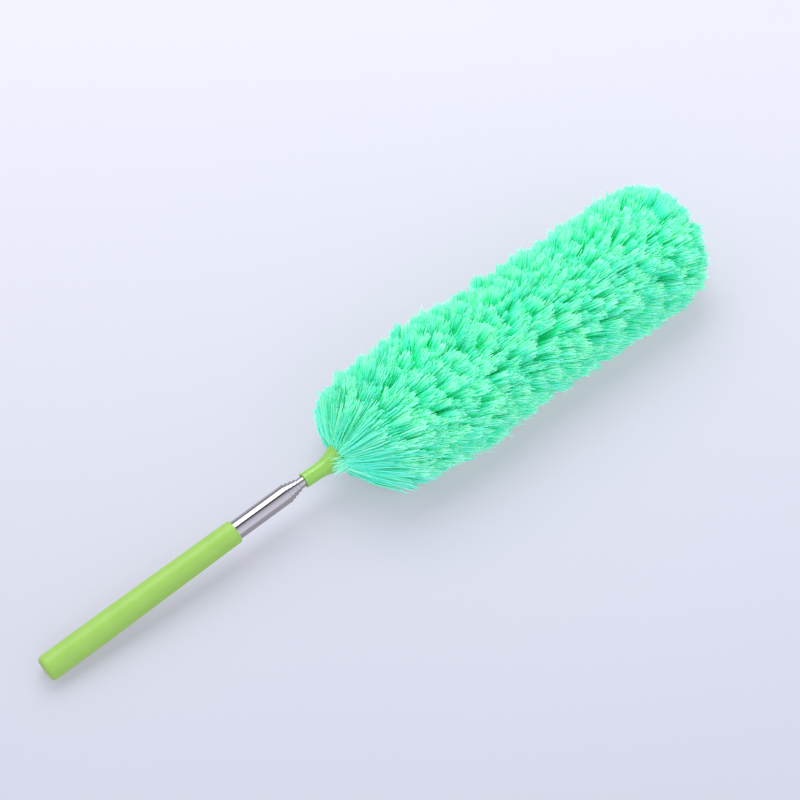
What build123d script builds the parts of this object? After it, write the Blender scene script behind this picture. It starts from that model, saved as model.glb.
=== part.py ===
"""Telescopic fibre duster: a moulded grip on a five-section steel pole, and a soft head of
synthetic fibres gripped by a twisted wire core.

The duster lies on a level floor, z = 0. The head lies level along +X with its fibres flattened
underneath, and the pole slopes down from it until the butt of the grip touches the floor.
Two local frames are used: s runs along the pole's axis from the butt of the grip, and
u runs along the head's axis from the mouth of the collar.
"""
import os
from math import asin, atan2, cos, degrees, exp, hypot, radians, sin, tan

from build123d import *

# ---- driving dimensions, in millimetres and degrees -------------------------------------------

# the pole as a whole
POLE_LENGTH = 205.5          # butt of the grip to where the pole's axis meets the head's axis
CORE_HEIGHT = 27.5           # height of the head's axis above the floor

# grip
GRIP_LENGTH = 149.0
GRIP_REAR_RADIUS = 8.95
GRIP_FRONT_RADIUS = 8.05
GRIP_CYLINDER_END = 50.0     # the rear of the grip is a plain cylinder up to here
GRIP_BUTT_ROUND = 3.2
GRIP_RIM_ROUND = 1.0
GRIP_END_WALL = 6.0
DIMPLE_AT = 74.0             # moulding mark on top of the grip
DIMPLE_RADIUS = 1.1
DIMPLE_DEPTH = 0.35
DIMPLE_TURN = 22.0           # degrees from straight up, towards the near side (-Y)

# steel pole: section 1 is the outermost tube, section 5 the innermost
SECTIONS = 5
TUBE_RADIUS = 6.5            # section 1
RADIUS_STEP = 0.71           # each section is this much smaller
TUBE_WALL = 0.35
OUTER_TUBE_END = 191.0       # front of section 1
RING_LENGTH = 2.85           # how far each collapsed section stands out of the one around it
MOUTH_LENGTH = 3.0           # swaged mouth that guides the next section
MOUTH_TAPER = 1.5
LIP_LENGTH = 1.6             # rolled lip that swells just behind the mouth
LIP_HEIGHT = 0.2
LIP_DROP = 0.1               # from the tube's outside to the edge of the mouth's flat face
RUNNING_FIT = 0.05           # radial clearance between parts that slide or turn
TAIL_START = 17.5            # rear end of section 2
TAIL_STEP = 0.5              # each further section starts this much further forward

# friction sleeves at the tails
SLEEVE_LENGTH = 10.0
SLEEVE_INSET = 1.6           # from the tail of its tube
SLEEVE_ARC = 335.0           # degrees, so each has a lengthwise slit
BEAD_HEIGHT = 0.18           # rolled beads that trap a sleeve
BEAD_WIDTH = 0.8

# plug in the rear of section 1
PLUG_LENGTH = 8.0
PLUG_FLANGE = 1.2

# collar: neck, then a flare to the mouth
COLLAR_LENGTH = 27.5
NECK_LENGTH = 10.5
NECK_RADIUS = 5.15
MOUTH_RADIUS = 10.3
COLLAR_WALL = 1.3
COLLAR_BORE = 3.95
COLLAR_RIM_ROUND = 0.5
TUBE_DEPTH = 13.5            # how far section 5 reaches into the collar
TUBE_BEND_RADIUS = 60.0      # gentle bend of section 5 inside the neck

# wire core
WIRE_RADIUS = 1.2
WIRE_GAP = 0.03
WIRE_PITCH = 24.0
CORE_PLUG_LENGTH = 8.0
CORE_PLUG_FLANGE = 1.0
CORE_START = -20.0
CORE_END = 256.0
TIP_CAP_RADIUS = 4.0
TIP_CAP_LENGTH = 12.0
TIP_CAP_DEPTH = 9.0
TIP_CAP_ROUND = 3.2

# fibre head
HEAD_LENGTH = 303.0          # mouth of the collar to the tips of the last fibres
HEAD_RADIUS = 47.0
BULGE = 3.5                  # the head is a little fuller near its rear
BULGE_AT = 92.0
BULGE_SPREAD = 32.0
REAR_EDGE = 50.0             # the rear is rounded up to here
REAR_ROUND = 60.0
FRONT_ROUND = 41.0
ROUND_POWER = 2.5
TUFTS = 14
FIRST_TUFT_FRONT = 10.0      # u where the roots of the first tuft end
LAST_TUFT_START = 238.0      # u where the roots of the last tuft start
FIBRE_LEAN = 30.0            # how far forward the fibre ends stand of their roots
LOBE = 1.5                   # how far a tuft bulges between its neighbours
TUFT_BORE = 2.9
TUFT_GAP = 0.3
ROOTS_START = -5.5           # the first roots lie this far inside the bell
ROOTS_RADII = (4.9, 6.5)     # of the roots inside the bell, at its back and half-way
ROOTS_HALF_WAY = -2.5
FAN_FOOT = 12.0              # radius at which the fan leaves the collar's rim
FAN_BACK = [(-4.0, 27.5), (0.0, 33.0)]  # (u, radius) of the fan's rear side, from the rim outwards
DOME_STEP = 15.0             # degrees between the corners of the front dome's outline

# ---- worked-out values ------------------------------------------------------------------------

NECK_U = -COLLAR_LENGTH
TUBE_FRONT_U = NECK_U + TUBE_DEPTH
TUFT_PITCH = (LAST_TUFT_START - FIRST_TUFT_FRONT) / (TUFTS - 2)


def pole_tilt():
    """Slope of the pole, in degrees, that puts the rounded butt of the grip on the floor."""
    along = POLE_LENGTH - GRIP_BUTT_ROUND
    across = GRIP_REAR_RADIUS - GRIP_BUTT_ROUND
    rise = CORE_HEIGHT - GRIP_BUTT_ROUND
    return degrees(asin(rise / hypot(along, across)) - atan2(across, along))


TILT = pole_tilt()
# the bend of section 5 is an arc tangent to both axes, which meet half this far inside the neck
BEND_REACH = TUBE_BEND_RADIUS * tan(radians(TILT) / 2)
CORNER_U = NECK_U + BEND_REACH / 2
HEAD_FRAME = Pos(0, 0, CORE_HEIGHT)
POLE_FRAME = HEAD_FRAME * Pos(CORNER_U, 0, 0) * Rot(0, -TILT, 0) * Pos(-POLE_LENGTH, 0, 0)


def tube_radius(k):
    """Outside radius of section k."""
    return TUBE_RADIUS - (k - 1) * RADIUS_STEP


def bore_radius(k):
    """Inside radius of section k."""
    return tube_radius(k) - TUBE_WALL


def tail_s(k):
    """Rear end of section k, for k of 2 or more."""
    return TAIL_START + (k - 2) * TAIL_STEP


def front_s(k):
    """Front end of sections 1 to 4."""
    return OUTER_TUBE_END + (k - 1) * RING_LENGTH


def travel(k):
    """How far section k slides before its sleeve meets the mouth of the section around it."""
    sleeve_front = tail_s(k) + SLEEVE_INSET + SLEEVE_LENGTH + BEAD_WIDTH
    return front_s(k - 1) - MOUTH_LENGTH - MOUTH_TAPER - sleeve_front


def outline(u):
    """Radius of the fibre head at u: rounded at both ends and a little fuller near the rear."""
    radius = HEAD_RADIUS + BULGE * exp(-(((u - BULGE_AT) / BULGE_SPREAD) ** 2))
    front_edge = HEAD_LENGTH - FRONT_ROUND
    share = max(0.0, (REAR_EDGE - u) / REAR_ROUND, (u - front_edge) / FRONT_ROUND)
    share = min(share, 0.999)
    return radius * (1 - share**ROUND_POWER) ** (1 / ROUND_POWER)


def turned(points, arc=360.0):
    """A turned part: the closed outline (along, radius) spun about the +X axis."""
    return revolve(make_face(Polyline(*points, close=True)), Axis.X, arc)


def ring(start, end, inner, outer, arc=360.0):
    """A plain bush or disc about the +X axis."""
    return turned([(start, inner), (end, inner), (end, outer), (start, outer)], arc)


# ---- handle: grip, outer tube and plug ---------------------------------------------------------


def grip_sleeve():
    """Moulded sleeve with a closed, rounded butt. It tapers towards the front."""
    blank = turned([
        (0, 0),
        (0, GRIP_REAR_RADIUS),
        (GRIP_CYLINDER_END, GRIP_REAR_RADIUS),
        (GRIP_LENGTH, GRIP_FRONT_RADIUS),
        (GRIP_LENGTH, 0),
    ])
    rims = blank.edges().filter_by(GeomType.CIRCLE).sort_by(Axis.X)
    blank = fillet(rims[0], GRIP_BUTT_ROUND)
    rims = blank.edges().filter_by(GeomType.CIRCLE).sort_by(Axis.X)
    blank = fillet(rims[-1], GRIP_RIM_ROUND)
    bore = ring(GRIP_END_WALL, GRIP_LENGTH + 1, 0, TUBE_RADIUS)
    half_width = DIMPLE_RADIUS
    ball_radius = (half_width**2 + DIMPLE_DEPTH**2) / (2 * DIMPLE_DEPTH)
    share = (DIMPLE_AT - GRIP_CYLINDER_END) / (GRIP_LENGTH - GRIP_CYLINDER_END)
    surface = GRIP_REAR_RADIUS + share * (GRIP_FRONT_RADIUS - GRIP_REAR_RADIUS)
    ball = Pos(DIMPLE_AT, 0, surface - DIMPLE_DEPTH + ball_radius) * Sphere(ball_radius)
    return blank - bore - Rot(DIMPLE_TURN, 0, 0) * ball


def swaged_tube(start, front, outer, inner, mouth):
    """A tube whose front end is rolled in to guide the next section."""
    shoulder = front - LIP_LENGTH
    crest = front - LIP_LENGTH / 2
    edge = outer - LIP_DROP
    profile = Curve() + [
        Line((start, inner), (start, outer)),
        Line((start, outer), (shoulder, outer)),
        ThreePointArc((shoulder, outer), (crest, outer + LIP_HEIGHT), (front, edge)),
        Line((front, edge), (front, mouth)),
        Line((front, mouth), (front - MOUTH_LENGTH, mouth)),
        Line((front - MOUTH_LENGTH, mouth), (front - MOUTH_LENGTH - MOUTH_TAPER, inner)),
        Line((front - MOUTH_LENGTH - MOUTH_TAPER, inner), (start, inner)),
    ]
    return revolve(make_face(profile), Axis.X)


def outer_tube():
    start = GRIP_END_WALL + PLUG_FLANGE
    mouth = tube_radius(2) + RUNNING_FIT
    return swaged_tube(start, front_s(1), tube_radius(1), bore_radius(1), mouth)


def rear_plug():
    """Stopper in the rear of section 1, held by the closed end of the grip."""
    flange = ring(GRIP_END_WALL, GRIP_END_WALL + PLUG_FLANGE, 0, TUBE_RADIUS)
    body_end = GRIP_END_WALL + PLUG_FLANGE + PLUG_LENGTH
    return flange + ring(GRIP_END_WALL + PLUG_FLANGE, body_end, 0, bore_radius(1))


# ---- sliding sections ---------------------------------------------------------------------------


def sleeve_beads(k):
    """The two rolled beads that trap the friction sleeve of section k."""
    first = tail_s(k) + SLEEVE_INSET - BEAD_WIDTH
    second = tail_s(k) + SLEEVE_INSET + SLEEVE_LENGTH
    inner = bore_radius(k)
    outer = tube_radius(k) + BEAD_HEIGHT
    return [ring(at, at + BEAD_WIDTH, inner, outer) for at in (first, second)]


def middle_section(k):
    """Sections 2 to 4."""
    mouth = tube_radius(k + 1) + RUNNING_FIT
    tube = swaged_tube(tail_s(k), front_s(k), tube_radius(k), bore_radius(k), mouth)
    for bead in sleeve_beads(k):
        tube += bead
    return tube


def last_section():
    """Section 5: straight inside the pole, then bent gently into line with the collar."""
    k = SECTIONS
    bend_start = POLE_LENGTH - BEND_REACH
    bend = JernArc((bend_start, 0), (1, 0), TUBE_BEND_RADIUS, -TILT)
    run_in = Line((tail_s(k), 0), (bend_start, 0))
    end = bend @ 1
    heading = bend % 1
    straight = TUBE_FRONT_U - CORNER_U - BEND_REACH
    run_out = Line(end, end + heading * straight)
    path = Curve() + [run_in, bend, run_out]
    ring_face = Circle(tube_radius(k)) - Circle(bore_radius(k))
    tube = sweep(Plane((tail_s(k), 0, 0), x_dir=(0, 1, 0), z_dir=(1, 0, 0)) * ring_face, path)
    tube = Rot(90, 0, 0) * tube
    for bead in sleeve_beads(k):
        tube += bead
    return tube


def friction_sleeve(k):
    """Slit spring sleeve on the tail of section k. It drags in the tube around it."""
    start = tail_s(k) + SLEEVE_INSET
    inner = tube_radius(k) + (RUNNING_FIT / 2 if k == SECTIONS else 0)
    outer = bore_radius(k - 1) - RUNNING_FIT
    return ring(start, start + SLEEVE_LENGTH, inner, outer, SLEEVE_ARC)


# ---- head: collar, wire core, fibres ------------------------------------------------------------


def flare(start_u, start_radius, end_radius):
    """The arc of the flare: it leaves the neck along the axis and ends at the mouth."""
    return TangentArc((start_u, start_radius), (0, end_radius), tangent=(1, 0))


def collar():
    """Trumpet collar: a straight neck on section 5, then an open bell over the fibre roots."""
    flare_u = NECK_U + NECK_LENGTH
    inner_flare_u = flare_u + 2 * COLLAR_WALL
    inner_mouth = MOUTH_RADIUS - COLLAR_WALL
    profile = Curve() + [
        Line((NECK_U, COLLAR_BORE), (NECK_U, NECK_RADIUS)),
        Line((NECK_U, NECK_RADIUS), (flare_u, NECK_RADIUS)),
        flare(flare_u, NECK_RADIUS, MOUTH_RADIUS),
        Line((0, MOUTH_RADIUS), (0, inner_mouth)),
        flare(inner_flare_u, COLLAR_BORE, inner_mouth),
        Line((inner_flare_u, COLLAR_BORE), (NECK_U, COLLAR_BORE)),
    ]
    body = revolve(make_face(profile), Axis.X)
    rims = body.edges().filter_by(GeomType.CIRCLE).filter_by(lambda e: abs(e.center().X) < 0.01)
    body = fillet(rims, COLLAR_RIM_ROUND)
    neck = body.edges().filter_by(GeomType.CIRCLE)
    neck = neck.filter_by(lambda e: abs(e.center().X - NECK_U) < 0.01).sort_by(lambda e: e.radius)
    return fillet(neck[-1], COLLAR_RIM_ROUND)


def core_plug():
    """Bush that centres the wire core in the front end of section 5."""
    bore = 2 * WIRE_RADIUS + 2 * WIRE_GAP
    body = ring(TUBE_FRONT_U - CORE_PLUG_LENGTH, TUBE_FRONT_U, bore, bore_radius(SECTIONS))
    flange_end = TUBE_FRONT_U + CORE_PLUG_FLANGE
    return body + ring(TUBE_FRONT_U, flange_end, bore, tube_radius(SECTIONS))


def core_wire(turn):
    """One strand of the twisted core, started at the given turn in degrees."""
    lay = WIRE_RADIUS + WIRE_GAP
    helix = Helix(pitch=WIRE_PITCH, height=CORE_END - CORE_START, radius=lay)
    section = Plane(origin=helix @ 0, z_dir=helix % 0) * Circle(WIRE_RADIUS)
    strand = sweep(section, path=helix, is_frenet=True)
    return Pos(CORE_START, 0, 0) * Rot(0, 90, 0) * Rot(0, 0, turn) * strand


def tip_cap():
    """Moulded cap over the wire ends."""
    start = CORE_END - TIP_CAP_DEPTH
    body = ring(start, start + TIP_CAP_LENGTH, 0, TIP_CAP_RADIUS)
    rims = body.edges().filter_by(GeomType.CIRCLE).sort_by(Axis.X)
    body = fillet(rims[-1], TIP_CAP_ROUND)
    return body - ring(start - 1, CORE_END + WIRE_RADIUS, 0, 2 * WIRE_RADIUS + 2 * WIRE_GAP)


def tuft_root(i):
    """u where the roots of tuft i start, for i of 1 or more; tuft 0 starts in the collar."""
    return FIRST_TUFT_FRONT + (i - 1) * TUFT_PITCH


def first_tuft_rear():
    """Rear outline of tuft 0: it fills the bell and spreads round the collar's rim."""
    inside = MOUTH_RADIUS - COLLAR_WALL - 2 * TUFT_GAP
    rim = 2 * TUFT_GAP
    roots = [(ROOTS_START, TUFT_BORE), (ROOTS_START, ROOTS_RADII[0]), (ROOTS_HALF_WAY, ROOTS_RADII[1])]
    return roots + [(rim, inside), (rim, FAN_FOOT)] + FAN_BACK


def last_tuft_front():
    """Front outline of the last tuft: a blunt dome outside, and room for the tip cap inside."""
    start = tuft_root(TUFTS - 1) + FIBRE_LEAN
    reach = HEAD_LENGTH - start
    corners = range(1, int(90 / DOME_STEP))
    dome = [start + reach * sin(radians(DOME_STEP * n)) for n in corners] + [HEAD_LENGTH]
    cap_start = CORE_END - TIP_CAP_DEPTH - TUFT_GAP
    cap_end = cap_start + TIP_CAP_LENGTH + 2 * TUFT_GAP
    cap_side = TIP_CAP_RADIUS + TUFT_GAP
    room = [(cap_end, 0), (cap_end, cap_side), (cap_start, cap_side), (cap_start, TUFT_BORE)]
    return [(u, outline(u)) for u in dome] + [(HEAD_LENGTH, 0)] + room


def tuft(i):
    """Closed outer shape of one tuft of fibres, flattened where it lies on the floor."""
    root = tuft_root(i) + TUFT_GAP / 2
    next_root = tuft_root(i + 1) - TUFT_GAP / 2
    if i == 0:
        rear = first_tuft_rear()
    else:
        rear = [(root, TUFT_BORE), (root + FIBRE_LEAN, outline(root + FIBRE_LEAN) - LOBE)]
    if i == TUFTS - 1:
        front = last_tuft_front()
    else:
        tip = next_root + FIBRE_LEAN
        ridge = tip - TUFT_PITCH / 2
        front = [(ridge, outline(ridge) + LOBE), (tip, outline(tip) - LOBE), (next_root, TUFT_BORE)]
    whole = turned(rear + front)
    floor = 2 * HEAD_LENGTH
    above_floor = Pos(HEAD_LENGTH / 2, 0, floor / 2 - CORE_HEIGHT) * Box(floor, floor, floor)
    return whole & above_floor


# ---- assembly -----------------------------------------------------------------------------------


def build():
    """Every piece by name, in the frame described at the top."""
    pole = {
        "grip_sleeve": grip_sleeve(),
        "outer_tube": outer_tube(),
        "rear_plug": rear_plug(),
    }
    for k in range(2, SECTIONS):
        pole[f"tube_section_{k}"] = middle_section(k)
    pole[f"tube_section_{SECTIONS}"] = last_section()
    for k in range(2, SECTIONS + 1):
        pole[f"friction_sleeve_{k}"] = friction_sleeve(k)
    head = {
        "collar": collar(),
        "core_plug": core_plug(),
        "core_wire_a": core_wire(0),
        "core_wire_b": core_wire(180),
        "tip_cap": tip_cap(),
    }
    for i in range(TUFTS):
        head[f"fibre_tuft_{i + 1:02d}"] = tuft(i)
    pieces = {name: POLE_FRAME * piece for name, piece in pole.items()}
    pieces.update({name: HEAD_FRAME * piece for name, piece in head.items()})
    rear = pieces["grip_sleeve"].bounding_box().min.X
    front = pieces[f"fibre_tuft_{TUFTS:02d}"].bounding_box().max.X
    middle = (rear + front) / 2
    return {name: Pos(-middle, 0, 0) * piece for name, piece in pieces.items()}, middle


os.makedirs("parts", exist_ok=True)
PIECES, MIDDLE = build()
for node, piece in PIECES.items():
    export_step(piece, f"parts/{node}.step")

# what the joints and mounts need, in metres in the finished frame
axis = (cos(radians(TILT)), 0.0, sin(radians(TILT)))
grip_mount = (POLE_FRAME * Pos((GRIP_BUTT_ROUND + GRIP_CYLINDER_END) / 2, 0, 0)).position
swivel = (POLE_FRAME * Pos(POLE_LENGTH, 0, 0)).position
print("pole axis", [round(v, 6) for v in axis], "tilt", round(TILT, 3))
print("grip mount", [round(v / 1000, 6) for v in (grip_mount.X - MIDDLE, 0, grip_mount.Z)])
print("swivel point", [round(v / 1000, 6) for v in (swivel.X - MIDDLE, 0, swivel.Z)])
print("mouth x", round(-MIDDLE / 1000, 6))
print("travel", [round(travel(k), 2) for k in range(2, SECTIONS + 1)])
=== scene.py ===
# %% [markdown]
# # A telescopic fibre duster
# The duster is a moulded grip on a steel pole of nested tubes, and a long soft head of
# synthetic fibres on a twisted wire core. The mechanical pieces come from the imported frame, and
# get their finishes here. The head is the one piece that has to be grown: its fibres are real
# mesh, because a bump map gives no silhouette and a hair system would not be a piece that can
# be handed on. First comes the frame.

import math
import random

import bmesh
import bpy
import numpy as np
from mathutils import Matrix, Vector


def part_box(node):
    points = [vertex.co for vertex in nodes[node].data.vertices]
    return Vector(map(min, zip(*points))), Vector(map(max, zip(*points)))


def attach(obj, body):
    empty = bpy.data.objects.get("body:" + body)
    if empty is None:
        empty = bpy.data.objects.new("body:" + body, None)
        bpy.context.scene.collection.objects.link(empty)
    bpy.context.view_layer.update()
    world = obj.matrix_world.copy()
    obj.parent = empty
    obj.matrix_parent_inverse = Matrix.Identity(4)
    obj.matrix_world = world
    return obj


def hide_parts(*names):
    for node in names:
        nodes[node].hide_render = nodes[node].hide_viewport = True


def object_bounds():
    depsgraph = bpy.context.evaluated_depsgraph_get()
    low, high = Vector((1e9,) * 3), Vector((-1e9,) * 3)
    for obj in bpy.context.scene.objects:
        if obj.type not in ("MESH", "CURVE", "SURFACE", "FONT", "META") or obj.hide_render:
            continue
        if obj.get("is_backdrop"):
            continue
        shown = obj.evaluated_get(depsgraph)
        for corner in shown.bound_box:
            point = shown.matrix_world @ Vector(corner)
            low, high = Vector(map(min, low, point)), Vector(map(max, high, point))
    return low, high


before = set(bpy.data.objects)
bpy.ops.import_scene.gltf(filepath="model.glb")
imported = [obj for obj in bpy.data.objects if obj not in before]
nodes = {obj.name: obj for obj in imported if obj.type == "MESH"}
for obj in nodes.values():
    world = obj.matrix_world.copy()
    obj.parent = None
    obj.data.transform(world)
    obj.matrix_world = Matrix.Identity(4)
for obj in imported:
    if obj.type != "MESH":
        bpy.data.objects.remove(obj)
cad_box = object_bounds()
MM = 0.001
print("pieces in the frame:", len(nodes), "box:", [round(v, 4) for v in cad_box[1] - cad_box[0]])

# %% [markdown]
# ## Where things are
# Every position comes from the frame, so nothing has to be fitted later. The collar's front
# gives the mouth, where the head's axis starts, and the collar's middle gives the axis's height.
# Along that axis, u is the distance from the mouth.

# %% The head's axis
collar_low, collar_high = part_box("collar")
tufts = sorted(name for name in nodes if name.startswith("fibre_tuft_"))
MOUTH_X = collar_high.x
CORE_Z = (collar_low.z + collar_high.z) / 2
MOUTH_RADIUS = (collar_high.y - collar_low.y) / 2
TIP_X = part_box(tufts[-1])[1].x
HEAD_LENGTH = TIP_X - MOUTH_X
print("mouth x", round(MOUTH_X, 4), "axis height", round(CORE_Z, 4), "head", round(HEAD_LENGTH, 4))

# %% [markdown]
# ## The camera
# The duster is seen from above, from the side of the grip, and from far enough away that the
# head hardly narrows. A long lens at nearly two metres does that. The camera looks along a
# direction given by two angles, at a point a little ahead of the duster's middle.

# %% Camera
CAMERA_TURN = 51.9  # degrees between the duster's axis and the way the camera looks, on the floor
CAMERA_HEIGHT = 58.6  # degrees above the horizon
CAMERA_DISTANCE = 1.9  # metres
CAMERA_LENS, CAMERA_SENSOR = 130.5, 36.0  # millimetres
CAMERA_AIM = Vector((0.0256, 0.0133, 0.020))


def make_camera():
    turn, height = math.radians(CAMERA_TURN), math.radians(CAMERA_HEIGHT)
    across = math.cos(height)
    look = Vector((across * math.cos(turn), across * math.sin(turn), -math.sin(height)))
    data = bpy.data.cameras.new("camera")
    data.lens = CAMERA_LENS
    data.sensor_width = CAMERA_SENSOR
    camera = bpy.data.objects.new("camera", data)
    camera.location = CAMERA_AIM - look * CAMERA_DISTANCE
    camera.rotation_mode = "QUATERNION"
    camera.rotation_quaternion = look.to_track_quat("-Z", "Y")
    bpy.context.scene.collection.objects.link(camera)
    bpy.context.scene.camera = camera
    print("camera at", [round(v, 3) for v in camera.location])


make_camera()

# %% [markdown]
# ## Colours and nodes
# Colours are written as the hex values a paint program shows, and one function turns them to
# the linear numbers that shaders want. A second function adds a node with its settings and
# links, and a third fills a colour ramp, which keeps each material short enough to read.


# %% Helpers for materials
def linear(code):
    """An sRGB hex colour as linear RGBA, by the curve that sRGB defines."""
    channels = [int(code[i : i + 2], 16) / 255 for i in (0, 2, 4)]
    bent = [c / 12.92 if c <= 0.04045 else ((c + 0.055) / 1.055) ** 2.4 for c in channels]
    return (*bent, 1.0)


def new_material(name):
    material = bpy.data.materials.new(name)
    material.use_nodes = True
    material.node_tree.nodes.clear()
    return material


def add(material, kind, inputs=None, links=None, **settings):
    """Adds a node. inputs are socket values, and links join a socket to another node's output."""
    tree = material.node_tree
    node = tree.nodes.new(kind)
    for key, value in settings.items():
        setattr(node, key, value)
    for key, value in (inputs or {}).items():
        node.inputs[key].default_value = value
    for key, source in (links or {}).items():
        tree.links.new(source, node.inputs[key])
    return node


def add_ramp(material, source, stops):
    """A colour ramp on a node's output. stops: (position, linear colour)."""
    ramp = add(material, "ShaderNodeValToRGB", links={"Fac": source})
    elements = ramp.color_ramp.elements
    while len(elements) < len(stops):
        elements.new(0.5)
    for element, (position, colour) in zip(elements, stops):
        element.position = position
        element.color = colour
    return ramp


def finish_with(material, shader_output):
    output = add(material, "ShaderNodeOutputMaterial")
    material.node_tree.links.new(shader_output, output.inputs["Surface"])
    return material


def paint(name, material):
    """Gives a CAD node its finish, as its only material."""
    piece = nodes[name]
    piece.data.materials.clear()
    piece.data.materials.append(material)


# %% [markdown]
# ## A light table
# The duster lies on a light table: a sheet of opal acrylic that is lit from below as well, so a
# shadow on it stays pale. A white sheet lit only from above would need less code, but its shadows
# would be dark. The table's own light grows towards the far side, as one seamless sheet.

# %% Table
TABLE_HALF = 6.0  # metres from the middle of the table to its edge
LENS_TO_WALL = (0.617, 0.787, 0.0)  # along the floor, from the lens to the far wall
GLOW = (0.25, 0.44)  # the table's own light, on the lens's side and on the far side
GLOW_HALF = 0.35  # metres over which it grows, each way from the middle


def make_floor():
    builder = bmesh.new()
    bmesh.ops.create_grid(builder, x_segments=1, y_segments=1, size=TABLE_HALF)
    mesh = bpy.data.meshes.new("floor")
    builder.to_mesh(mesh)
    builder.free()
    floor = bpy.data.objects.new("floor", mesh)
    bpy.context.scene.collection.objects.link(floor)
    opal = new_material("opal_acrylic")
    place = add(opal, "ShaderNodeTexCoord")
    away = add(
        opal,
        "ShaderNodeVectorMath",
        {1: LENS_TO_WALL},
        {0: place.outputs["Object"]},
        operation="DOT_PRODUCT",
    )
    glow = add(
        opal,
        "ShaderNodeMapRange",
        {"From Min": -GLOW_HALF, "From Max": GLOW_HALF, "To Min": GLOW[0], "To Max": GLOW[1]},
        {"Value": away.outputs["Value"]},
    )
    shader = add(
        opal,
        "ShaderNodeBsdfPrincipled",
        {"Base Color": linear("93969B"), "Roughness": 0.7, "Emission Color": linear("FAF3FF")},
        {"Emission Strength": glow.outputs["Result"]},
    )
    finish_with(opal, shader.outputs["BSDF"])
    floor.data.materials.append(opal)
    floor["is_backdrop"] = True
    print("table:", floor.name, [round(v, 2) for v in floor.dimensions])


make_floor()

# %% [markdown]
# ## A tent and a soft box
# Round the table stands a tent of white cloth, made as a world of bands. Its far wall is bright,
# and the side of the lens is a little greyer above. There is a dark seam at the foot of the far
# wall and another overhead. Matte things don't notice the seams, but polished steel shows them as
# thin dark lines. One soft box behind the far wall makes the shadow fall towards the lens. Light
# may bounce many times, because the fibres need it.

# %% Tent and soft box
TENT = [(0, 1.3), (5, 1.3), (7, 0.12), (19, 0.12), (22, 1.8), (80, 1.8), (84, 0.1)]
TENT += [(95, 0.1), (102, 0.75), (130, 1.55), (180, 1.8)]
RAMP_TOP = 2.0  # a ramp's colours are stored as shares of this brightness
BOUNCES = 24


def make_light(name, location, size, power, colour):
    """A soft box aimed at the middle of the table."""
    data = bpy.data.lights.new(name, "AREA")
    data.shape = "RECTANGLE"
    data.size, data.size_y = size
    data.energy = power
    data.color = linear(colour)[:3]
    light = bpy.data.objects.new(name, data)
    light.location = location
    light.rotation_mode = "QUATERNION"
    light.rotation_quaternion = (-Vector(location)).to_track_quat("-Z", "Y")
    bpy.context.scene.collection.objects.link(light)


def make_tent(colour, walls):
    """A world of bands. walls: (degrees up from the foot of the far wall and over the top,
    brightness there)."""
    world = bpy.data.worlds.new("tent")
    world.use_nodes = True
    background = world.node_tree.nodes["Background"]
    background.inputs["Color"].default_value = linear(colour)
    way = add(world, "ShaderNodeTexCoord")
    split = add(world, "ShaderNodeSeparateXYZ", links={"Vector": way.outputs["Generated"]})
    over = add(
        world,
        "ShaderNodeMath",
        links={0: split.outputs["Z"], 1: split.outputs["Y"]},
        operation="ARCTAN2",
    )
    share = add(
        world,
        "ShaderNodeMath",
        {1: math.pi},
        {0: over.outputs["Value"]},
        operation="DIVIDE",
    )
    stops = [(angle / 180, (level / RAMP_TOP,) * 3 + (1.0,)) for angle, level in walls]
    ramp = add_ramp(world, share.outputs["Value"], stops)
    level = add(
        world,
        "ShaderNodeMath",
        {1: RAMP_TOP},
        {0: ramp.outputs["Color"]},
        operation="MULTIPLY",
    )
    world.node_tree.links.new(level.outputs["Value"], background.inputs["Strength"])
    bpy.context.scene.world = world
    print("tent:", len(walls), "bands")


make_tent("E6ECFF", TENT)
make_light("main_box", (0.45, 0.85, 1.55), (1.3, 1.3), 16.0, "FFFDF8")
bpy.context.scene.view_settings.view_transform = "Standard"
bpy.context.scene.cycles.max_bounces = BOUNCES
bpy.context.scene.cycles.diffuse_bounces = BOUNCES

# %% [markdown]
# ## Moulded plastic
# Grip and collar are coloured polypropylene. The grip is moulded in a fine spark-eroded mould,
# so it looks soft, with a faint pearly drift in its colour; the collar comes from a polished
# mould and shows a narrow highlight. Both use the same small recipe: a low-contrast noise on the
# colour, and a fine noise as bump.


# %% Plastics
DRIFT_SIZE = 14 * MM


def moulded_plastic(name, light, dark, roughness, grain_mm, grain_depth_mm):
    """Moulded polypropylene: colour drift over centimetres, and grain from the mould's face."""
    material = new_material(name)
    place = add(material, "ShaderNodeTexCoord")
    drift = add(
        material,
        "ShaderNodeTexNoise",
        {"Scale": 1 / DRIFT_SIZE, "Detail": 2.0, "Roughness": 0.5},
        {"Vector": place.outputs["Object"]},
    )
    colour = add(
        material,
        "ShaderNodeMix",
        {"A": linear(dark), "B": linear(light)},
        {"Factor": drift.outputs["Fac"]},
        data_type="RGBA",
    )
    grain = add(
        material,
        "ShaderNodeTexNoise",
        {"Scale": 1 / (grain_mm * MM), "Detail": 3.0},
        {"Vector": place.outputs["Object"]},
    )
    bump = add(
        material,
        "ShaderNodeBump",
        {"Strength": 0.35, "Distance": grain_depth_mm * MM},
        {"Height": grain.outputs["Fac"]},
    )
    shader = add(
        material,
        "ShaderNodeBsdfPrincipled",
        {"Roughness": roughness, "IOR": 1.49},
        {"Base Color": colour.outputs["Result"], "Normal": bump.outputs["Normal"]},
    )
    return finish_with(material, shader.outputs["BSDF"])


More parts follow.
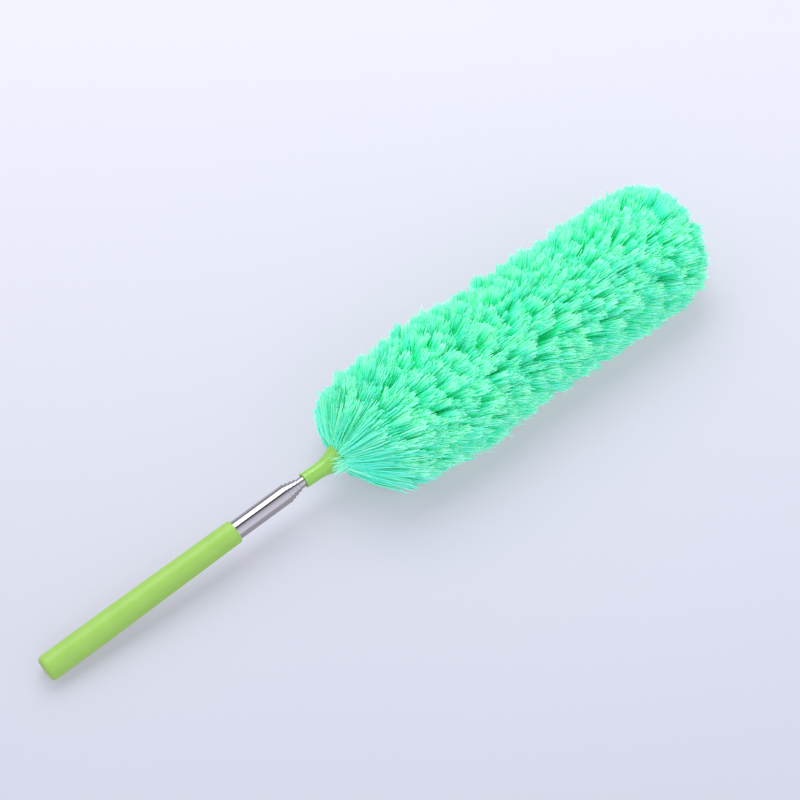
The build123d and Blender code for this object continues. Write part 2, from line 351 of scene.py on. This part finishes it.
grip_plastic = moulded_plastic("satin_polypropylene", "97BF4E", "8BB546", 0.42, 0.5, 0.05)
collar_plastic = moulded_plastic("gloss_polypropylene", "90C24F", "82B644", 0.18, 0.9, 0.02)
plug_plastic = moulded_plastic("natural_polyethylene", "E6E6DE", "DADAD0", 0.5, 0.8, 0.04)
print("plastics:", [m.name for m in (grip_plastic, collar_plastic, plug_plastic)])

# %% [markdown]
# ## Drawn metals
# The pole is thin-walled stainless tube, drawn and then polished along its length. That leaves
# very fine lines along the pole. A noise stretched along the tube, used as a small bump and as a
# drift of the roughness, gives the long soft streaks in its reflections. The spring sleeves and
# the core's wires are drawn too, and are not polished, so they use the same recipe and are rougher.


# %% Metals
LINE_WIDTH = 0.35 * MM
LINE_STRETCH = 50  # times longer along the pole than across


def drawn_metal(name, tint, roughness):
    """Drawn metal: fine lines along the pole."""
    material = new_material(name)
    place = add(material, "ShaderNodeTexCoord")
    lines = add(
        material,
        "ShaderNodeMapping",
        {"Scale": (1 / LINE_STRETCH, 1.0, 1.0)},
        {"Vector": place.outputs["Object"]},
    )
    streaks = add(
        material,
        "ShaderNodeTexNoise",
        {"Scale": 1 / LINE_WIDTH, "Detail": 4.0, "Roughness": 0.6},
        {"Vector": lines.outputs["Vector"]},
    )
    rough = add(
        material,
        "ShaderNodeMapRange",
        {"To Min": roughness * 0.7, "To Max": roughness * 1.4},
        {"Value": streaks.outputs["Fac"]},
    )
    bump = add(
        material,
        "ShaderNodeBump",
        {"Strength": 0.15, "Distance": 0.02 * MM},
        {"Height": streaks.outputs["Fac"]},
    )
    shader = add(
        material,
        "ShaderNodeBsdfPrincipled",
        {"Base Color": linear(tint), "Metallic": 1.0},
        {"Roughness": rough.outputs["Result"], "Normal": bump.outputs["Normal"]},
    )
    return finish_with(material, shader.outputs["BSDF"])


polished_steel = drawn_metal("polished_stainless_steel", "ACA6A4", 0.09)
spring_brass = drawn_metal("spring_brass", "D9B25A", 0.3)
galvanised_wire = drawn_metal("galvanised_wire", "B9BDC2", 0.38)
print("metals:", [m.name for m in (polished_steel, spring_brass, galvanised_wire)])

# %% [markdown]
# ## Finishes for the mechanical pieces
# The pieces of the pole, the grip and the collar keep the shapes they have in the frame. Each
# gets its finish, and the name of its slot, so that a user can change the finish later without
# touching a shape.

# %% Paint the mechanical pieces
paint("grip_sleeve", grip_plastic)
paint("collar", collar_plastic)
paint("outer_tube", polished_steel)
for k in range(2, 6):
    paint(f"tube_section_{k}", polished_steel)
    paint(f"friction_sleeve_{k}", spring_brass)
for name in ("rear_plug", "core_plug", "tip_cap"):
    paint(name, plug_plastic)
for name in ("core_wire_a", "core_wire_b"):
    paint(name, galvanised_wire)
print("painted:", len(nodes) - len(tufts), "pieces")

# %% [markdown]
# ## The fibre
# The head is fine polyester fibre, dyed mint green and cut to length. A fibre takes very little
# out of the light, so light goes on from fibre to fibre many times, and each time it turns a
# little greener. That is why the ends look pale and the gaps between locks glow in a deep green
# instead of going black. A matte surface in a light colour does the same, if the light may
# bounce often enough. The colour also carries painted shade: it runs from pale mint at the
# surface to a darker, deeper green in the depth of the head, where less light reaches. It reads
# two attributes that each strand carries: how deep in the head a point lies, for the painted
# shade, and the tone of the strand. A strand that took more dye, with a tone under 1, is both a
# little darker and as green as one that lies deeper.


# %% Fibre material
# Painted shade: colour 0 is the fibre's own pale mint, and the darker greens after it are painted
# for depth in the head. A strand's dye moves it along the same colours.
DYE_AND_SHADE_COLOURS = [(0.0, "B6FFE2"), (0.25, "6CFFDE"), (0.6, "40FFD0"), (1.0, "2CFCC0")]
DYE_GREENS = 2.0  # how far along those colours a strand goes for the dye it took


def fibre_material():
    material = new_material("mint_polyester_fibre")
    # The painted shade, read from how deep a point lies in the head.
    depth = add(material, "ShaderNodeAttribute", attribute_name="depth")
    tone = add(material, "ShaderNodeAttribute", attribute_name="tone")
    dye = add(
        material,
        "ShaderNodeMath",
        {0: 1.0},
        {1: tone.outputs["Fac"]},
        operation="SUBTRACT",
    )
    # Where a point lies on the colours: its dye, plus its painted shade for depth.
    dye_and_shade = add(
        material,
        "ShaderNodeMath",
        {1: DYE_GREENS},
        {0: dye.outputs["Value"], 2: depth.outputs["Fac"]},
        operation="MULTIPLY_ADD",
    )
    stops = [(position, linear(code)) for position, code in DYE_AND_SHADE_COLOURS]
    ramp = add_ramp(material, dye_and_shade.outputs["Value"], stops)
    shade = add(
        material,
        "ShaderNodeHueSaturation",
        links={"Color": ramp.outputs["Color"], "Value": tone.outputs["Fac"]},
    )
    surface = add(
        material,
        "ShaderNodeBsdfPrincipled",
        {"Roughness": 0.6, "IOR": 1.45, "Specular IOR Level": 0.12},
        {"Base Color": shade.outputs["Color"]},
    )
    return finish_with(material, surface.outputs["BSDF"])


mint_fibre = fibre_material()
print("fibre:", mint_fibre.name, "with", len(DYE_AND_SHADE_COLOURS), "colours")

# %% [markdown]
# ## One strand
# Every fibre in the head is a copy of one of a few strands. A strand is a three-sided prism, one
# unit long and about one unit thick, cut across once so that it can bend. It is made from a cone
# with a capped top and bottom. Each kind has its own bend, and a copy is turned, stretched and
# laid in place by a matrix. The shape is repeated a hundred thousand times, so its eight faces
# are all it can afford. A real fibre is about 0.1 mm thick, which no picture of the whole duster
# could show, so a strand stands for a pinch of several.

# %% Strands
BEND_AT = 0.55
STRAND_BENDS = (-7.0, -4.0, -1.5, 0.0, 2.0, 5.0)  # in units of the strand's thickness
STRAND_TAPER = 0.75


def make_strand(bend):
    """One kind of strand, from the origin up, with its bend towards X."""
    builder = bmesh.new()
    bmesh.ops.create_cone(
        builder,
        cap_ends=True,
        segments=3,
        radius1=1.0,
        radius2=STRAND_TAPER,
        depth=1.0,
        matrix=Matrix.Translation((0, 0, 0.5)),
    )
    everything = builder.verts[:] + builder.edges[:] + builder.faces[:]
    bmesh.ops.bisect_plane(
        builder, geom=everything, plane_co=(0, 0, BEND_AT), plane_no=(0, 0, 1)
    )
    builder.verts.layers.float.new("tone")
    ring = [v for v in builder.verts if abs(v.co.z - BEND_AT) < 0.01]
    bmesh.ops.translate(builder, verts=ring, vec=(bend, 0, 0))
    mesh = bpy.data.meshes.new("strand")
    builder.to_mesh(mesh)
    builder.free()
    return mesh


strands = [make_strand(bend) for bend in STRAND_BENDS]
print("faces of a strand:", [len(mesh.polygons) for mesh in strands])

# %% [markdown]
# ## The head's outline
# The fibres are all cut to end on one surface: a long barrel, fuller towards the collar, rounded
# at the rear and domed at the tip. The CAD tufts have that surface, so the barrel's radius comes
# from their boxes. At the two ends the radius falls along a superellipse.

# %% Outline
MID_TUFT = tufts[len(tufts) // 2]
STANDS_PROUD = 4.8 * MM  # the ragged ends reach this far past where a lock is aimed
BARREL_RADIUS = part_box(MID_TUFT)[1].y - STANDS_PROUD
TIP_U = HEAD_LENGTH - 9 * MM  # where the outline closes, behind the longest fibres' ends
FULLER_BY, FULLER_AT, FULLER_SPREAD = 3.0 * MM, 92 * MM, 28 * MM
REAR_EDGE, REAR_ROUND = 58 * MM, 68 * MM
FRONT_ROUND = 38 * MM
ROUND_POWER = 2.5


def outline(u):
    """Radius of the surface that the locks are aimed at, at a distance u from the mouth."""
    radius = BARREL_RADIUS + FULLER_BY * math.exp(-(((u - FULLER_AT) / FULLER_SPREAD) ** 2))
    share = max(0.0, (REAR_EDGE - u) / REAR_ROUND, (u - TIP_U + FRONT_ROUND) / FRONT_ROUND)
    return radius * (1 - min(share, 1.0) ** ROUND_POWER) ** (1 / ROUND_POWER)


print("barrel radius", round(BARREL_RADIUS, 4))

# %% [markdown]
# ## Laying a strand
# A strand is laid by its root and its tip. The matrix that does it has the strand's own length
# along one axis and its thickness along the other two, and the third of its directions is the
# side that the strand bends to. A lock holds a few dozen such strands.

# %% Lay a strand
STRAND_RADIUS = 0.36 * MM
STRANDS_IN_LOCK = (18, 58)
LOCK_SPREAD = 0.50 * MM  # grows with the square root of the number of strands
print("strands in a lock:", STRANDS_IN_LOCK, "radius:", STRAND_RADIUS)


def lay_strand(builder, kind, root, tip, bow_side, tone, radius=STRAND_RADIUS):
    """Copies a strand into the tuft, stretched from root to tip, with its bend towards bow_side."""
    span = tip - root
    along = span.normalized()
    side = (bow_side - along * bow_side.dot(along)).normalized()
    turned = Matrix((side, along.cross(side), along)).transposed().to_4x4()
    size = Matrix.Diagonal((radius, radius, span.length, 1.0))
    copy = strands[kind].copy()
    copy.transform(Matrix.Translation(root) @ turned @ size)
    copy.attributes["tone"].data.foreach_set("value", [tone] * len(copy.vertices))
    builder.from_mesh(copy)
    bpy.data.meshes.remove(copy)


# %% [markdown]
# ## Laying a lock
# The wires grip the fibres in a spiral, and they part into locks: a few dozen strands that leave
# the core together, spread a little, and end nearly level. A lock is laid strand by strand,
# which costs more code than copying a whole lock, but no two locks are then the same. Its ends
# fill an oval, a little ragged and often aslant, and some strands stray past it. By the collar
# the head is an open fan, where strands are seen one by one: the locks there are thinner and
# wider, and half of the strands are cut shorter.

# %% Lay a lock
ROOT_SPREAD = 0.2  # the roots' share of the spread of the ends
RAGGED = 1.3 * MM
SLANT = 0.5  # the most that a lock's end slopes
STRAYS, STRAY_REACH = 0.18, 1.7  # the share of strands that stray, and how far
DYE, FAN_DYE = 0.025, 0.075  # how much the strands' dye differs
FAN_THINNER, FAN_WIDER, FAN_SHORTEST = 0.75, 1.3, 0.5


def lay_lock(builder, dice, root, tip, bow, open_fan=False):
    """A lock: strands from nearly one root to an oval of ends about the tip."""
    tone, slant = dice.uniform(0.95, 1.04), dice.uniform(-SLANT, SLANT)
    heading = (tip - root).normalized()
    side = heading.orthogonal().normalized()
    side.rotate(Matrix.Rotation(dice.uniform(0, math.pi), 3, heading))
    other = heading.cross(side)
    count = dice.randint(*STRANDS_IN_LOCK)
    wide = LOCK_SPREAD * math.sqrt(count)
    flat = wide * dice.uniform(0.55, 1.0)
    uneven_dye = DYE
    if open_fan:
        count, wide, flat = int(count * FAN_THINNER), wide * FAN_WIDER, flat * FAN_WIDER
        uneven_dye = FAN_DYE
    for _ in range(count):
        turn, reach = dice.uniform(0, 2 * math.pi), math.sqrt(dice.random())
        if dice.random() < STRAYS:
            reach *= STRAY_REACH
        offset = side * (wide * math.cos(turn)) + other * (flat * math.sin(turn))
        uneven = dice.gauss(-0.4, 1.0) * RAGGED + slant * wide * reach * math.cos(turn)
        end = tip + offset * reach + heading * uneven
        start = root + offset * reach * ROOT_SPREAD
        if bow is None:
            kind = dice.randrange(len(strands))
            bow_side = Vector((dice.gauss(0, 1), dice.gauss(0, 1), 0.3))
        else:
            kind, bow_side = bow
            kind = max(0, min(len(strands) - 1, kind + dice.randint(-2, 3)))
        if open_fan and dice.random() < 0.5:
            end = start.lerp(end, dice.uniform(FAN_SHORTEST, 1.0))
        lay_strand(builder, kind, start, end, bow_side, tone - abs(dice.gauss(0, uneven_dye)))


# %% [markdown]
# ## Places on the head
# A place on the head is easiest to say as a distance from the mouth, a radius and an angle round
# the axis. Two small functions turn that into the frame's own X, Y and Z.


# %% Places
def point_at(u, radius, around):
    """A point of the head: distance from the mouth, radius, and angle from -Y over the top."""
    return Vector(
        (MOUTH_X + u, -radius * math.cos(around), CORE_Z + radius * math.sin(around))
    )


def outwards(around):
    """The direction away from the axis, at that angle."""
    return point_at(0, 1, around) - point_at(0, 0, around)


print("the mouth is at", [round(v, 4) for v in point_at(0, 0, 0)])

# %% [markdown]
# ## Rings of ends
# The ends of the locks cover the outline evenly. The way there is to walk along the outline in
# small steps and set a ring of ends each time a lock's width has been walked. Random places would
# be shorter to write, but they leave bald spots.

# %% Rings
LOCK_SPACING = 5.6 * MM
FIRST_END, PRESSED_FIRST_END = 9 * MM, 27 * MM  # the latter on the side it was laid down on
WALK_STEP = 0.25 * MM


def rings_of_ends():
    """Even steps along the outline, as u."""
    u, walked, found = FIRST_END, 0.0, [FIRST_END]
    while u < TIP_U - WALK_STEP:
        walked += math.hypot(WALK_STEP, outline(u + WALK_STEP) - outline(u))
        u += WALK_STEP
        if walked >= LOCK_SPACING:
            walked = 0.0
            found.append(u)
    return found


print("rings of ends:", len(rings_of_ends()))

# %% [markdown]
# ## The spiral
# Two twisted wires hold the fibres, so the locks stand in a spiral, like the thread of a screw.
# It gives the head its scalloped edge: in every turn the rear locks stand highest, and the roots
# lie closer together than the ends, so the turns part from each other. Two sine waves keep the
# turns from being too even.

# %% Spiral
LOBE_PITCH = 19 * MM
LOBE_HEIGHT = 6 * MM
LOBE_FAN = 0.45  # how much closer together a lobe's roots lie than its ends


def through_turn(u, around):
    """The share of its turn of the spiral that lies behind a place."""
    uneven = 0.3 * math.sin(3 * around + u / (23 * MM)) + 0.28 * math.sin(u / (11 * MM) - around)
    return (u / LOBE_PITCH + around / (2 * math.pi) + uneven) % 1.0


print("turns of the spiral:", round(HEAD_LENGTH / LOBE_PITCH, 1))

# %% [markdown]
# ## From the ends to the roots
# From each end the root follows: the fibres lean forward, and more on the side that the head was
# laid down on. At the rear they all come out of the collar, and far enough forward to pass in
# front of its rim; at the front they fan out round the cap.

# %% Roots
CORE_RADIUS = 2.4 * MM
LEAN, REAR_LEAN, PRESSED_LEAN = 29.0, 20.0, 20.0  # degrees; the last is added
LEAN_VARIES, AROUND_VARIES = 6.5, 0.09  # standard deviations, in degrees and in radians
REAR_LENGTH = 45 * MM  # over which the lean grows from the rear's to the barrel's
PRESSED_SIDE = math.radians(-26)  # the side the head was laid down on: -Y, and a little down
ROOTS_START, ROOTS_END = -4.5 * MM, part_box("tip_cap")[0].x - MOUTH_X - 1 * MM
REAR_ROOTS, FRONT_ROOTS = 5 * MM, 20 * MM  # what the roots held back at each end spread over
RIM_CLEARANCE, RIM_SPREAD = 1.8 * MM, 2 * MM  # how far before the rim the rear locks pass
TIP_CALM = 20 * MM  # the lobes fade out over this length at the tip


def lock_end(dice, ring_u, around):
    """(u of the end, height above the outline, u of the root), or None behind the fan."""
    pressed = (1 + math.cos(around - PRESSED_SIDE)) / 2
    u = min(ring_u + dice.uniform(-0.5, 0.5) * LOCK_SPACING, TIP_U - 0.2 * MM)
    first = FIRST_END + (PRESSED_FIRST_END - FIRST_END) * pressed
    if u < first:
        return None
    rear = max(0.0, 1 - (u - first) / REAR_LENGTH)
    lean = LEAN + (REAR_LEAN - LEAN) * rear * (1 - pressed) + PRESSED_LEAN * pressed**0.6
    through = through_turn(u, around)
    root_u = u - outline(u) * math.tan(math.radians(lean + dice.gauss(0, LEAN_VARIES)))
    root_u -= (through - 0.5) * LOBE_FAN * LOBE_PITCH
    if root_u > ROOTS_END:
        root_u = ROOTS_END - dice.uniform(0, FRONT_ROOTS)
    at_rim = (MOUTH_RADIUS - CORE_RADIUS) / (outline(u) - CORE_RADIUS)
    clear = (RIM_CLEARANCE - at_rim * u) / (1 - at_rim)
    held = ROOTS_START + dice.uniform(0, REAR_ROOTS)
    root_u = max(held, clear + dice.uniform(0, RIM_SPREAD), root_u)
    calm = min(1.0, (TIP_U - u) / TIP_CALM)
    height = LOBE_HEIGHT * (0.5 - through) * dice.uniform(0.7, 1.2) * calm
    return u, height + dice.gauss(0, 1.1) * MM, root_u


def lock_ends(dice):
    """(angle, u of the end, height above the outline, u of the root) of every lock."""
    found = []
    for ring_u in rings_of_ends():
        count = max(1, round(2 * math.pi * outline(ring_u) / LOCK_SPACING))
        first = dice.uniform(0, 1)
        for k in range(count):
            around = (k + first + dice.uniform(-0.4, 0.4)) * 2 * math.pi / count
            end = lock_end(dice, ring_u, around)
            if end:
                found.append((around, *end))
    return found


ends = lock_ends(random.Random(7))
print("locks:", len(ends))

# %% [markdown]
# ## The floor's touch
# The head is soft, so the underside lies flat on the floor. Fibres that would end below the
# floor are eased up: heights under a few millimetres are squeezed by an exponential, which
# leaves everything above as it was, and what is pushed up also spreads outwards.

# %% Rest on the floor
SOFT_HEIGHT = 8 * MM
PUSHED_ON, PUSHED_OUT = 0.35, 0.45  # how far a fibre slides for each millimetre it is pushed up
FLOOR_GAP = 0.2 * MM


def read_places(mesh):
    places = np.empty(len(mesh.vertices) * 3)
    mesh.vertices.foreach_get("co", places)
    return places.reshape(-1, 3)


def rest_on_floor(mesh):
    places = read_places(mesh)
    height = places[:, 2].copy()
    eased = np.where(
        height < SOFT_HEIGHT, SOFT_HEIGHT * np.exp((height - SOFT_HEIGHT) / SOFT_HEIGHT), height
    )
    pushed = eased - height
    places[:, 0] += PUSHED_ON * pushed
    places[:, 1] += PUSHED_OUT * pushed * np.tanh(places[:, 1] / SOFT_HEIGHT)
    places[:, 2] = eased + FLOOR_GAP
    mesh.vertices.foreach_set("co", places.ravel())
    mesh.update()


# %% [markdown]
# ## How deep a fibre lies
# The material paints shade by how far below the head's surface each point is, as a share of
# the depth at which that painted shade is full green. In the fan by the collar the fibres lie
# open over their whole length, so nothing there counts as deep, and gets no painted shade.

# %% Depth
FULL_SHADE_DEPTH = 16 * MM
OPEN_FAN = 45 * MM


def mark_depth(mesh):
    places = read_places(mesh)
    u = places[:, 0] - MOUTH_X
    steps = np.linspace(0, TIP_U, 200)
    surface = np.interp(u, steps, [outline(step) for step in steps])
    below = surface - np.hypot(places[:, 1], places[:, 2] - CORE_Z)
    # Painted shade: the share of full depth at each point, and none in the open fan.
    depth = np.clip(below / FULL_SHADE_DEPTH, 0, 1) * np.clip(u / OPEN_FAN, 0, 1)
    layer = mesh.attributes.new("depth", "FLOAT", "POINT")
    layer.data.foreach_set("value", depth.astype(np.float32))


# %% [markdown]
# ## Bows, and an escaped wisp
# The locks at the rear bow round the collar's rim, and the ones at the front bow outwards round
# the cap; the rest are bent at random. On one side a wisp of finer fibres has escaped from the
# collar and lies back over its rim. It is laid with the same function, from thinner strands.

# %% Bows and wisp
OPEN_ROOTS = 4 * MM  # locks rooted behind this make the open fan
CAP_LENGTH = 25 * MM
REAR_KIND, CAP_KIND, WISP_KINDS = 0, 5, (3, 6)  # places in STRAND_BENDS
WISP_STRANDS, WISP_RADIUS, WISP_AT = 90, 0.16 * MM, math.radians(26)


def lock_bow(u, around, root_u):
    """(kind of strand, side it bends to), or None for any."""
    if root_u < OPEN_ROOTS:
        return REAR_KIND, Vector((1, 0, 0))
    if u > TIP_U - CAP_LENGTH:
        return CAP_KIND, outwards(around)
    return None


def lay_wisp(builder, dice):
    """Fine fibres that escaped, and lie back over the collar's rim."""
    for _ in range(WISP_STRANDS):
        around = WISP_AT + dice.gauss(0, 0.22)
        start = point_at(
            dice.uniform(0.3, 3) * MM, MOUTH_RADIUS + dice.uniform(0.3, 1.5) * MM, around
        )
        tip = point_at(
            -dice.uniform(2, 10.5) * MM,
            MOUTH_RADIUS + dice.uniform(-1.8, 0.6) * MM,
            around + dice.gauss(0, 0.3),
        )
        tone = dice.uniform(0.9, 1.04)
        kind = dice.randrange(*WISP_KINDS)
        lay_strand(builder, kind, start, tip, outwards(around), tone, WISP_RADIUS)


print("strands in the wisp:", WISP_STRANDS)

# %% [markdown]
# ## Growing the tufts
# Each CAD tuft is one piece here too, so that one bunch can be taken out or changed. It gets the
# locks whose roots lie in its share of the core, and rides on the head.

# %% Grow the tufts
PITCH = (ROOTS_END - ROOTS_START) / len(tufts)


def grow_tuft(number, name):
    dice = random.Random(1000 + number)
    builder = bmesh.new()
    if number == 0:
        lay_wisp(builder, dice)
    for around, u, height, root_u in ends:
        if int((root_u - ROOTS_START) / PITCH) != number:
            continue
        root = point_at(root_u, CORE_RADIUS, around)
        straight = point_at(u, outline(u), around + dice.gauss(0, AROUND_VARIES))
        tip = straight + (straight - root).normalized() * height
        lay_lock(builder, dice, root, tip, lock_bow(u, around, root_u), root_u < OPEN_ROOTS)
    mesh = bpy.data.meshes.new(f"fibres_{number + 1:02d}")
    builder.to_mesh(mesh)
    builder.free()
    mark_depth(mesh)
    rest_on_floor(mesh)
    tuft = bpy.data.objects.new(mesh.name, mesh)
    bpy.context.scene.collection.objects.link(tuft)
    mesh.materials.append(mint_fibre)
    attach(tuft, "head")
    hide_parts(name)
    return tuft


grown = [grow_tuft(number, name) for number, name in enumerate(tufts)]
for tuft in grown:
    tuft.data.calc_loop_triangles()
triangles = [len(tuft.data.loop_triangles) for tuft in grown]
print("triangles in the fibres:", sum(triangles), "most in one tuft:", max(triangles), triangles)

# %% [markdown]
# ## Sizes, and the end
# The fibres stand a little proud of the CAD outline. Both boxes are printed so that they can be
# compared.

# %% Finish
own_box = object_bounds()
for word, box in (("cad", cad_box), ("visual", own_box)):
    print(word, [round(v * 1000, 1) for v in box[0]], [round(v * 1000, 1) for v in box[1]])
